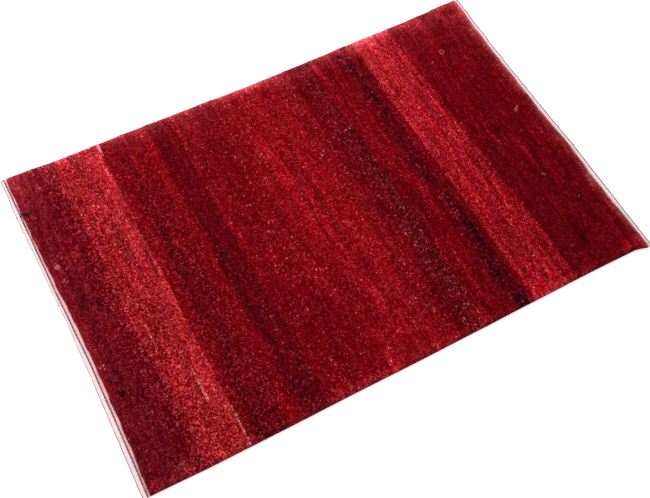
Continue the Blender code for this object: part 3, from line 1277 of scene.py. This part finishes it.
    def tie_streaks(self, single: np.ndarray, cover: np.ndarray, x: np.ndarray, y: np.ndarray) -> None:
        """Ties the paler rows in among the single knots.

        Args:
            single: the single knots' colours.
            cover: 1 where there is a single knot.
            x: the knots' places along the rug, in mm.
            y: their places across it, in mm.
        """
        reach = 0.7 * (x[-1, 0] - x[0, 0]) / (len(x) - 1)  # takes in one row of knots, or two
        for streak in STREAKS:
            near = (np.abs(x - streak.x) < reach) & (y > streak.start) & (y < streak.stop)
            tied = near & (self.rng.random(x.shape) < self.variety.streak_cover)
            self.tie(single, cover, tied, streak.wool, self.variety.streak_spread)

    def tie_figures(self, single: np.ndarray, cover: np.ndarray, x: np.ndarray, y: np.ndarray) -> None:
        """Ties the small charted figures in among the single knots.

        Args:
            single: the single knots' colours.
            cover: how far each single knot hides the wool of its band.
            x: the knots' places along the rug, in mm.
            y: their places across it, in mm.
        """
        full = self.variety.figure_cover
        for figure in FIGURES:
            i, j = np.unravel_index(np.argmin((x - figure.x) ** 2 + (y - figure.y) ** 2), x.shape)
            for down, line in enumerate(figure.chart.value):
                for right, knot in enumerate(line):
                    at = max(i + right - len(line) // 2, 0), j + len(figure.chart.value) // 2 - down
                    if knot in CHART_WOOLS:
                        light = math.exp(self.rng.normal() * self.variety.figure_spread)
                        single[at] = full * light * CHART_WOOLS[knot].linear
                        cover[at] = full

    def strip(self, number: int, colours: np.ndarray, material: bpy.types.Material) -> bpy.types.Object:
        """Builds one strip of the pile.

        Args:
            number: the strip, counted from the near side.
            colours: every knot's linear colour.
            material: the pile's finish.

        Returns:
            The piece.
        """
        rows = self.rows // self.strips
        first = number * rows
        mesh = index_slab(self.columns, rows, tufted=True)
        index = read_points(mesh)
        u, v = index[:, 0], index[:, 1] + first
        level = np.rint(index[:, 2])
        nudge = 1e-4  # keeps a whole number whole when it is cut
        i, j = np.floor(u + nudge).astype(int), np.floor(v + nudge).astype(int)
        points = self.valleys[i, j].copy()
        is_tip = level > 0.5
        points[is_tip] = self.tips[i[is_tip], j[is_tip]]
        points[level < -0.5, 2] = self.base
        corners = corner_vertices(mesh)
        cell = face_means(mesh, index)[corner_faces(mesh)]
        ci = np.clip(np.floor(cell[:, 0]), 0, self.columns - 1).astype(int)
        cj = np.clip(np.floor(cell[:, 1]), 0, rows - 1).astype(int) + first
        # painted light on the tips and painted shade at the feet between the tufts
        light = np.where(is_tip[corners], self.tip_painted_light, self.valley_painted_shade)
        paint(mesh, colours[ci, cj] * light[:, None])
        places = self.bake_sheet.places(self.columns, rows, index[corners], cell)
        layer = mesh.uv_layers.new(name=BAKE_MAP)
        layer.uv.foreach_set("vector", places.astype(np.float32).ravel())
        set_points(mesh, points)
        return seat(f"pile_strip_{number + 1}", mesh, material, "pile_wool", "pile_field")

    def build(self) -> list[bpy.types.Object]:
        """Knots the pile.

        Returns:
            Its strips, from the near side to the far one.
        """
        self.lay_out()
        colours = self.wools()
        material = YarnFinish("clipped_pile_wool").material()
        return [self.strip(number, colours, material) for number in range(self.strips)]


@dataclass
class GroundCloth:
    """The foundation under the knots, whose underside shows the backs of the knots in their bands."""

    thickness: float = 2.9 * MM
    columns: int = 236
    rows: int = 24

    def build(self) -> bpy.types.Object:
        """Weaves the foundation.

        Returns:
            The piece.
        """
        bm = bmesh.new()
        bmesh.ops.create_grid(bm, x_segments=self.columns, y_segments=self.rows, size=1)
        drawn = bmesh.ops.extrude_face_region(bm, geom=bm.faces[:], use_keep_orig=True)["geom"]
        upper = [item for item in drawn if isinstance(item, bmesh.types.BMVert)]
        bmesh.ops.translate(bm, verts=upper, vec=(0, 0, 1))
        bmesh.ops.recalc_face_normals(bm, faces=bm.faces[:])
        mesh = finished_mesh(bm, "cloth")
        along, across, level = read_points(mesh).T
        left, right = OUTLINE.pile_end(-1, across), OUTLINE.pile_end(1, across)
        near, far = OUTLINE.pile_side(-1, along), OUTLINE.pile_side(1, along)
        x = left + (right - left) * (along + 1) / 2
        y = near + (far - near) * (across + 1) / 2
        set_points(mesh, np.stack([x, y, self.thickness * level], 1))
        paint(mesh, self.wool(face_means(mesh, read_points(mesh)))[corner_faces(mesh)])
        return seat("ground_cloth", mesh, BackFinish("rug_back_wool").material(), "pile_wool", "pile_field")

    @staticmethod
    def wool(places: np.ndarray) -> np.ndarray:
        """Takes the mean of the ground and mix wools over each place on the back.

        Args:
            places: the places, one a row.

        Returns:
            Their linear colours.
        """
        number = band_numbers(places[:, 0], np.clip(places[:, 1] / OUTLINE.half_width, -1, 1))
        share = mean_mix(number)[:, None]
        return of_bands("ground", number) * (1 - share) + of_bands("mix", number) * share


@dataclass
class Selvedge:
    """The edge warps along a long side, overcast turn by turn with the wools of the bands beside them.

    turn is a turn's length, ridge how far it bulges, as a share of the radius, spell how far one wool runs
    and depth how dark the wools lie.
    """

    side: int
    turn: float = 2.4 * MM
    rings_a_turn: int = 4
    sides: int = 8
    ridge: float = 0.10
    spell: float = 9 * MM
    depth: float = 0.6
    rng: np.random.Generator = field(default_factory=lambda: np.random.default_rng(17))

    def wool(self, x: np.ndarray) -> np.ndarray:
        """Chooses the overcasting's wool from the band beside it, spell by spell.

        Args:
            x: places along the side.

        Returns:
            Their linear colours.
        """
        number = band_numbers(x, self.side)
        spell = np.floor((x + OUTLINE.half_length) / self.spell).astype(int)
        is_mix = self.rng.random(spell.max() + 1)[spell] < mean_mix(number)
        return self.depth * np.where(is_mix[:, None], of_bands("mix", number), of_bands("ground", number))

    def build(self, material: bpy.types.Material) -> bpy.types.Object:
        """Winds the overcasting.

        Args:
            material: the yarn's finish.

        Returns:
            The piece.
        """
        radius = OUTLINE.selvedge / 2
        left = float(OUTLINE.pile_end(-1, np.array(float(self.side))))
        right = float(OUTLINE.pile_end(1, np.array(float(self.side))))
        rings = int((right - left) / self.turn * self.rings_a_turn) + 1
        x = np.linspace(left, right, rings)
        along = (x - left) / (right - left) * 2 - 1
        y = OUTLINE.side_line(self.side, along) - self.side * radius
        centres = np.stack([x, y, np.full(rings, radius)], 1)
        angle = np.arange(self.sides) / self.sides
        phase = math.tau * ((x - left)[:, None] / self.turn - angle[None, :])
        radii = radius * (1 - self.ridge / 2 + self.ridge / 2 * np.cos(phase))
        label = "far" if self.side > 0 else "near"
        name = f"selvedge_yarn_{label}"
        mesh = tube(name, centres, radii, self.sides)
        middle = face_means(mesh, read_points(mesh))[corner_faces(mesh)]
        paint(mesh, self.wool(middle[:, 0]))
        return seat(name, mesh, material, "selvedge_wool", f"selvedge_{label}")


@dataclass(frozen=True)
class Twine:
    """Two plies twined round each other.

    ply is a ply's radius, rest the height of the cloth under them and pitch the length of a turn. apart and
    lift are how far each ply swings and how high the twine's middle lies, in radii.
    """

    wools: tuple[Dye, Dye]
    ply: float
    rest: float
    pitch: float
    apart: float = 0.8
    lift: float = 1.9
    sides: int = 5
    steps: int = 8


@dataclass
class KilimEnd:
    """The flat-woven band at an end, with a line twined near the pile and a fine one at the outer edge.

    The section runs from the outer edge to the pile: each point lies section_share of the band's width and
    section_inward mm in from the edge, and is section_top mm high. blush is how wide the pink beside the pile
    is, corner and corner_turn how the corners are drawn in, edge_fade how far the fine line pales half way
    across, and marks are the y of its stains in mm.
    """

    end: int
    columns: int = 14
    rows: int = 620
    weave: float = 0.22 * MM
    unevenness: float = 0.05 * MM
    blush: float = 3.2 * MM
    blush_blend: float = 1.5 * MM
    fleck: float = 0.06
    twined: Twine = Twine((Dye.TWINE, Dye.ASH), ply=0.95 * MM, rest=1.25 * MM, pitch=9 * MM)
    edge: Twine = Twine((Dye.SLATE, Dye.SLATE), ply=0.55 * MM, rest=1.7 * MM, pitch=5.5 * MM)
    edge_inset: float = 0.9 * MM
    edge_stray: float = 0.35 * MM
    edge_fade: float = 0.0
    paling: float = 0.12
    corner: float = 5.0 * MM
    corner_turn: float = 0.96
    marks: tuple[float, ...] = ()
    mark_reach: float = 3.5 * MM
    section_share: tuple[float, ...] = (0, 0, 0, 0, 1, 1, 1, 1, 1)
    section_inward: tuple[float, ...] = (0.0, 0.8, 2.2, 3.4, -6.2, -5.8, -3.4, -3.0, 0.0)
    section_top: tuple[float, ...] = (1.1, 2.1, 2.3, 1.9, 1.9, 1.2, 1.2, 1.9, 1.9)
    rng: np.random.Generator = field(default_factory=lambda: np.random.default_rng(23))

    @property
    def label(self) -> str:
        """The end's name."""
        return "right" if self.end > 0 else "left"

    def edge_y(self, across: np.ndarray) -> np.ndarray:
        """Finds the y of places across the end.

        Args:
            across: the places, from -1 to 1.

        Returns:
            The y of each.
        """
        corner = np.array(float(self.end))
        near = -OUTLINE.side_line(-1, corner) - OUTLINE.kilim_shy
        far = OUTLINE.side_line(1, corner) - OUTLINE.kilim_shy
        return np.where(across < 0, across * near, across * far)

    def curl(self, across: np.ndarray) -> np.ndarray:
        """Finds how far the end's outer edge is drawn in where it turns a corner.

        Args:
            across: places across the end, from -1 to 1.

        Returns:
            The distance at each.
        """
        from_corner = (1 - np.abs(across)) * OUTLINE.half_width
        turn = 1 - np.clip(from_corner / self.corner, 0, 1)
        return self.corner * (1 - np.sqrt(1 - (self.corner_turn * turn) ** 2))

    def ground(self, material: bpy.types.Material) -> bpy.types.Object:
        """Weaves the band.

        Args:
            material: the yarn's finish.

        Returns:
            The piece.
        """
        mesh = index_slab(self.columns, self.rows, tufted=False)
        index = read_points(mesh)
        across = index[:, 1] / self.rows * 2 - 1
        share = index[:, 0] / self.columns
        width = OUTLINE.band_width(self.end, across)
        inward = share * width
        section = np.asarray(self.section_share)[None, :] * width[:, None]
        section = section + np.asarray(self.section_inward)[None, :] * MM
        top = np.array([np.interp(d, row, self.section_top) for d, row in zip(inward, section)]) * MM
        wave = np.where((index[:, 0] + index[:, 1]) % 2 < 0.5, 1.0, -1.0) * self.weave
        wave += self.rng.normal(size=len(index)) * self.unevenness
        inner = (share > 0) & (share < 1)
        drawn = inward + self.curl(across) * (1 - share)
        x = OUTLINE.end_line(self.end, across) - self.end * drawn
        z = np.where(index[:, 2] < -0.5, 0, top + np.where(inner, wave, 0))
        set_points(mesh, np.stack([x, self.edge_y(across), z], 1))
        if self.is_inside_out(mesh):
            mesh.flip_normals()
        corners, faces = corner_vertices(mesh), corner_faces(mesh)
        from_pile = (1 - share) * width
        blend = np.clip((from_pile[corners] - self.blush) / self.blush_blend, 0, 1)[:, None]
        colour = Dye.BLUSH.linear * (1 - blend) + Dye.UNDYED.linear * blend
        fleck = np.exp(self.rng.normal(size=len(mesh.polygons)) * self.fleck)[faces]
        paint(mesh, colour * fleck[:, None])
        return seat(f"kilim_weave_{self.label}", mesh, material, "kilim_wool", f"kilim_end_{self.label}")

    @staticmethod
    def is_inside_out(mesh: bpy.types.Mesh) -> bool:
        """Tells from the sign of its volume whether a slab's faces point inwards.

        Args:
            mesh: the slab.

        Returns:
            Whether they do.
        """
        bm = bmesh.new()
        bm.from_mesh(mesh)
        inward = bm.calc_volume(signed=True) < 0
        bm.free()
        return inward

    def line(
        self, name: str, twine: Twine, inward: np.ndarray, turns: np.ndarray, fade: np.ndarray,
        material: bpy.types.Material, *nodes: str
    ) -> bpy.types.Object:
        """Twines two plies along the band.

        Args:
            name: the piece's name.
            twine: the plies.
            inward: how far in from the outer line each step lies, from the near side to the far one.
            turns: how far the plies have twisted at each step.
            fade: how far each step's wool has paled.
            material: the yarn's finish.
            nodes: the solids that it stands for.

        Returns:
            The piece.
        """
        across = np.linspace(-1, 1, len(inward))
        x = OUTLINE.end_line(self.end, across) - self.end * inward
        y = self.edge_y(across)
        joined = bmesh.new()
        colours = []
        for ply, wool in enumerate(twine.wools):
            turn = math.tau * turns + ply * math.pi
            up = twine.rest + twine.ply * (twine.lift + twine.apart * np.sin(turn))
            centres = np.stack([x + twine.apart * twine.ply * np.cos(turn), y, up], 1)
            mesh = tube(name, centres, np.full(len(x), twine.ply), twine.sides)
            joined.from_mesh(mesh)
            place = face_means(mesh, read_points(mesh))[corner_faces(mesh), 1]
            pale = np.interp(place, y, fade)[:, None]
            dyed = wool.linear * (1 - pale) + Dye.UNDYED.linear * pale
            for mark in self.marks:
                dyed[np.abs(place - mark * MM) < self.mark_reach] = Dye.BLACK.linear
            colours.append(dyed)
            bpy.data.meshes.remove(mesh)
        mesh = finished_mesh(joined, name)
        paint(mesh, np.concatenate(colours))
        return seat(name, mesh, material, "twined_wool", *nodes)

    def drift(self, count: int, cell: float) -> np.ndarray:
        """A slow noise along a line of count steps, with hills of cell steps."""
        return smooth_noise(self.rng, (count, 2), (cell, 1))[:, 0]

    def twist(self, twine: Twine) -> np.ndarray:
        """Finds how far two plies have twisted at each step along the end.

        Args:
            twine: the plies.

        Returns:
            The turns, which are a little uneven.
        """
        length = float(self.edge_y(np.array(1.0)) - self.edge_y(np.array(-1.0)))
        count = int(length / twine.pitch * twine.steps) + 1
        uneven = 0.08  # of a turn
        return np.arange(count) / twine.steps + uneven * self.drift(count, 40)

    def build(self, material: bpy.types.Material) -> list[bpy.types.Object]:
        """Weaves and twines the end.

        Args:
            material: the yarn's finish.

        Returns:
            The woven band first, then its two lines.
        """
        ground = self.ground(material)
        turns = self.twist(self.twined)
        fade = self.paling * np.maximum(self.drift(len(turns), 9), 0)
        inward = OUTLINE.line_inset(self.end, np.linspace(-1, 1, len(turns)))
        inner = self.line(f"twined_yarn_{self.label}", self.twined, inward, turns, fade, material,
                          f"twined_line_{self.label}")
        turns = self.twist(self.edge)
        across = np.linspace(-1, 1, len(turns))
        fade = self.edge_fade * (1 - across ** 2) + self.paling * self.drift(len(turns), 14)
        inward = self.edge_inset + self.edge_stray * self.drift(len(turns), 26) + self.curl(across)
        outer = self.line(f"edge_yarn_{self.label}", self.edge, inward, turns, np.clip(fade, 0, 1), material)
        return [ground, inner, outer]


@dataclass
class Studio:
    """A white backlit floor, soft light and the photograph's camera."""

    camera_at: tuple[float, float, float] = (-0.5486, -0.9351, 1.7497)
    camera_turn: tuple[float, float, float] = (29.487, -1.318, -28.399)
    camera_spread: float = 38.222
    floor_size: float = 12.0
    floor_drop: float = 0.05 * MM
    floor_shade: float = 0.86
    floor_glow: float = 0.34
    world_glow: float = 0.92
    lamp_at: tuple[float, float, float] = (-0.5, 1.9, 1.7)
    lamp_size: float = 1.5
    lamp_power: float = 50

    def floor(self) -> None:
        """Lays the floor just under the rug."""
        bm = bmesh.new()
        bmesh.ops.create_grid(bm, x_segments=1, y_segments=1, size=self.floor_size / 2)
        bmesh.ops.translate(bm, verts=bm.verts[:], vec=(0, 0, -self.floor_drop))
        mesh = finished_mesh(bm, "studio_floor")
        made = bpy.data.materials.new("studio_paper")
        made.use_nodes = True
        shader = made.node_tree.nodes["Principled BSDF"]
        set_inputs(shader, {"Base Color": (self.floor_shade,) * 3 + (1,), "Roughness": 0.9})
        set_inputs(shader, {"Emission Color": (1, 1, 1, 1), "Emission Strength": self.floor_glow})
        mesh.materials.append(made)
        floor = bpy.data.objects.new("studio_floor", mesh)
        bpy.context.scene.collection.objects.link(floor)

    def lamp(self) -> None:
        """Hangs a square soft light that faces the rug's middle."""
        data = bpy.data.lights.new("key_light", "AREA")
        data.size = self.lamp_size
        data.energy = self.lamp_power
        lamp = bpy.data.objects.new("key_light", data)
        lamp.location = self.lamp_at
        lamp.rotation_euler = (-lamp.location).to_track_quat("-Z", "Y").to_euler()
        bpy.context.scene.collection.objects.link(lamp)

    def camera(self) -> None:
        """Sets the photograph's camera."""
        data = bpy.data.cameras.new("photo_camera")
        data.sensor_fit = "HORIZONTAL"
        data.angle = math.radians(self.camera_spread)
        camera = bpy.data.objects.new("photo_camera", data)
        camera.location = self.camera_at
        camera.rotation_euler = [math.radians(turn) for turn in self.camera_turn]
        bpy.context.scene.collection.objects.link(camera)
        bpy.context.scene.camera = camera

    def build(self) -> None:
        """Sets up the floor, the light and the camera."""
        scene = bpy.context.scene
        scene.view_settings.view_transform = "Standard"
        world = bpy.data.worlds.new("studio_world")
        world.use_nodes = True
        set_inputs(world.node_tree.nodes["Background"], {"Color": (1, 1, 1, 1), "Strength": self.world_glow})
        scene.world = world
        self.camera()
        self.floor()
        self.lamp()


def main() -> None:
    """Builds the rug from its foundation outwards, then the studio round it."""
    logging.basicConfig(level=logging.INFO, format="%(name)s %(message)s")
    Studio().build()
    finish = YarnFinish("twined_edge_wool", sheen=0.15, sheen_tint=(1, 1, 1), fibre=0.5 * MM, shade=0.22)
    yarn = finish.material()
    ground = GroundCloth().build()
    strips = KnotField().build()
    sides = [Selvedge(side).build(yarn) for side in (-1, 1)]
    left = KilimEnd(-1, edge_fade=0.55, marks=(290, 268))
    right = KilimEnd(1, corner=8 * MM)
    right.twined = replace(right.twined, wools=(Dye.UNDYED, Dye.UNDYED))
    right.edge = replace(right.edge, ply=0.68 * MM)
    ends = [left.build(yarn), right.build(yarn)]


if __name__ == "__main__":
    main()
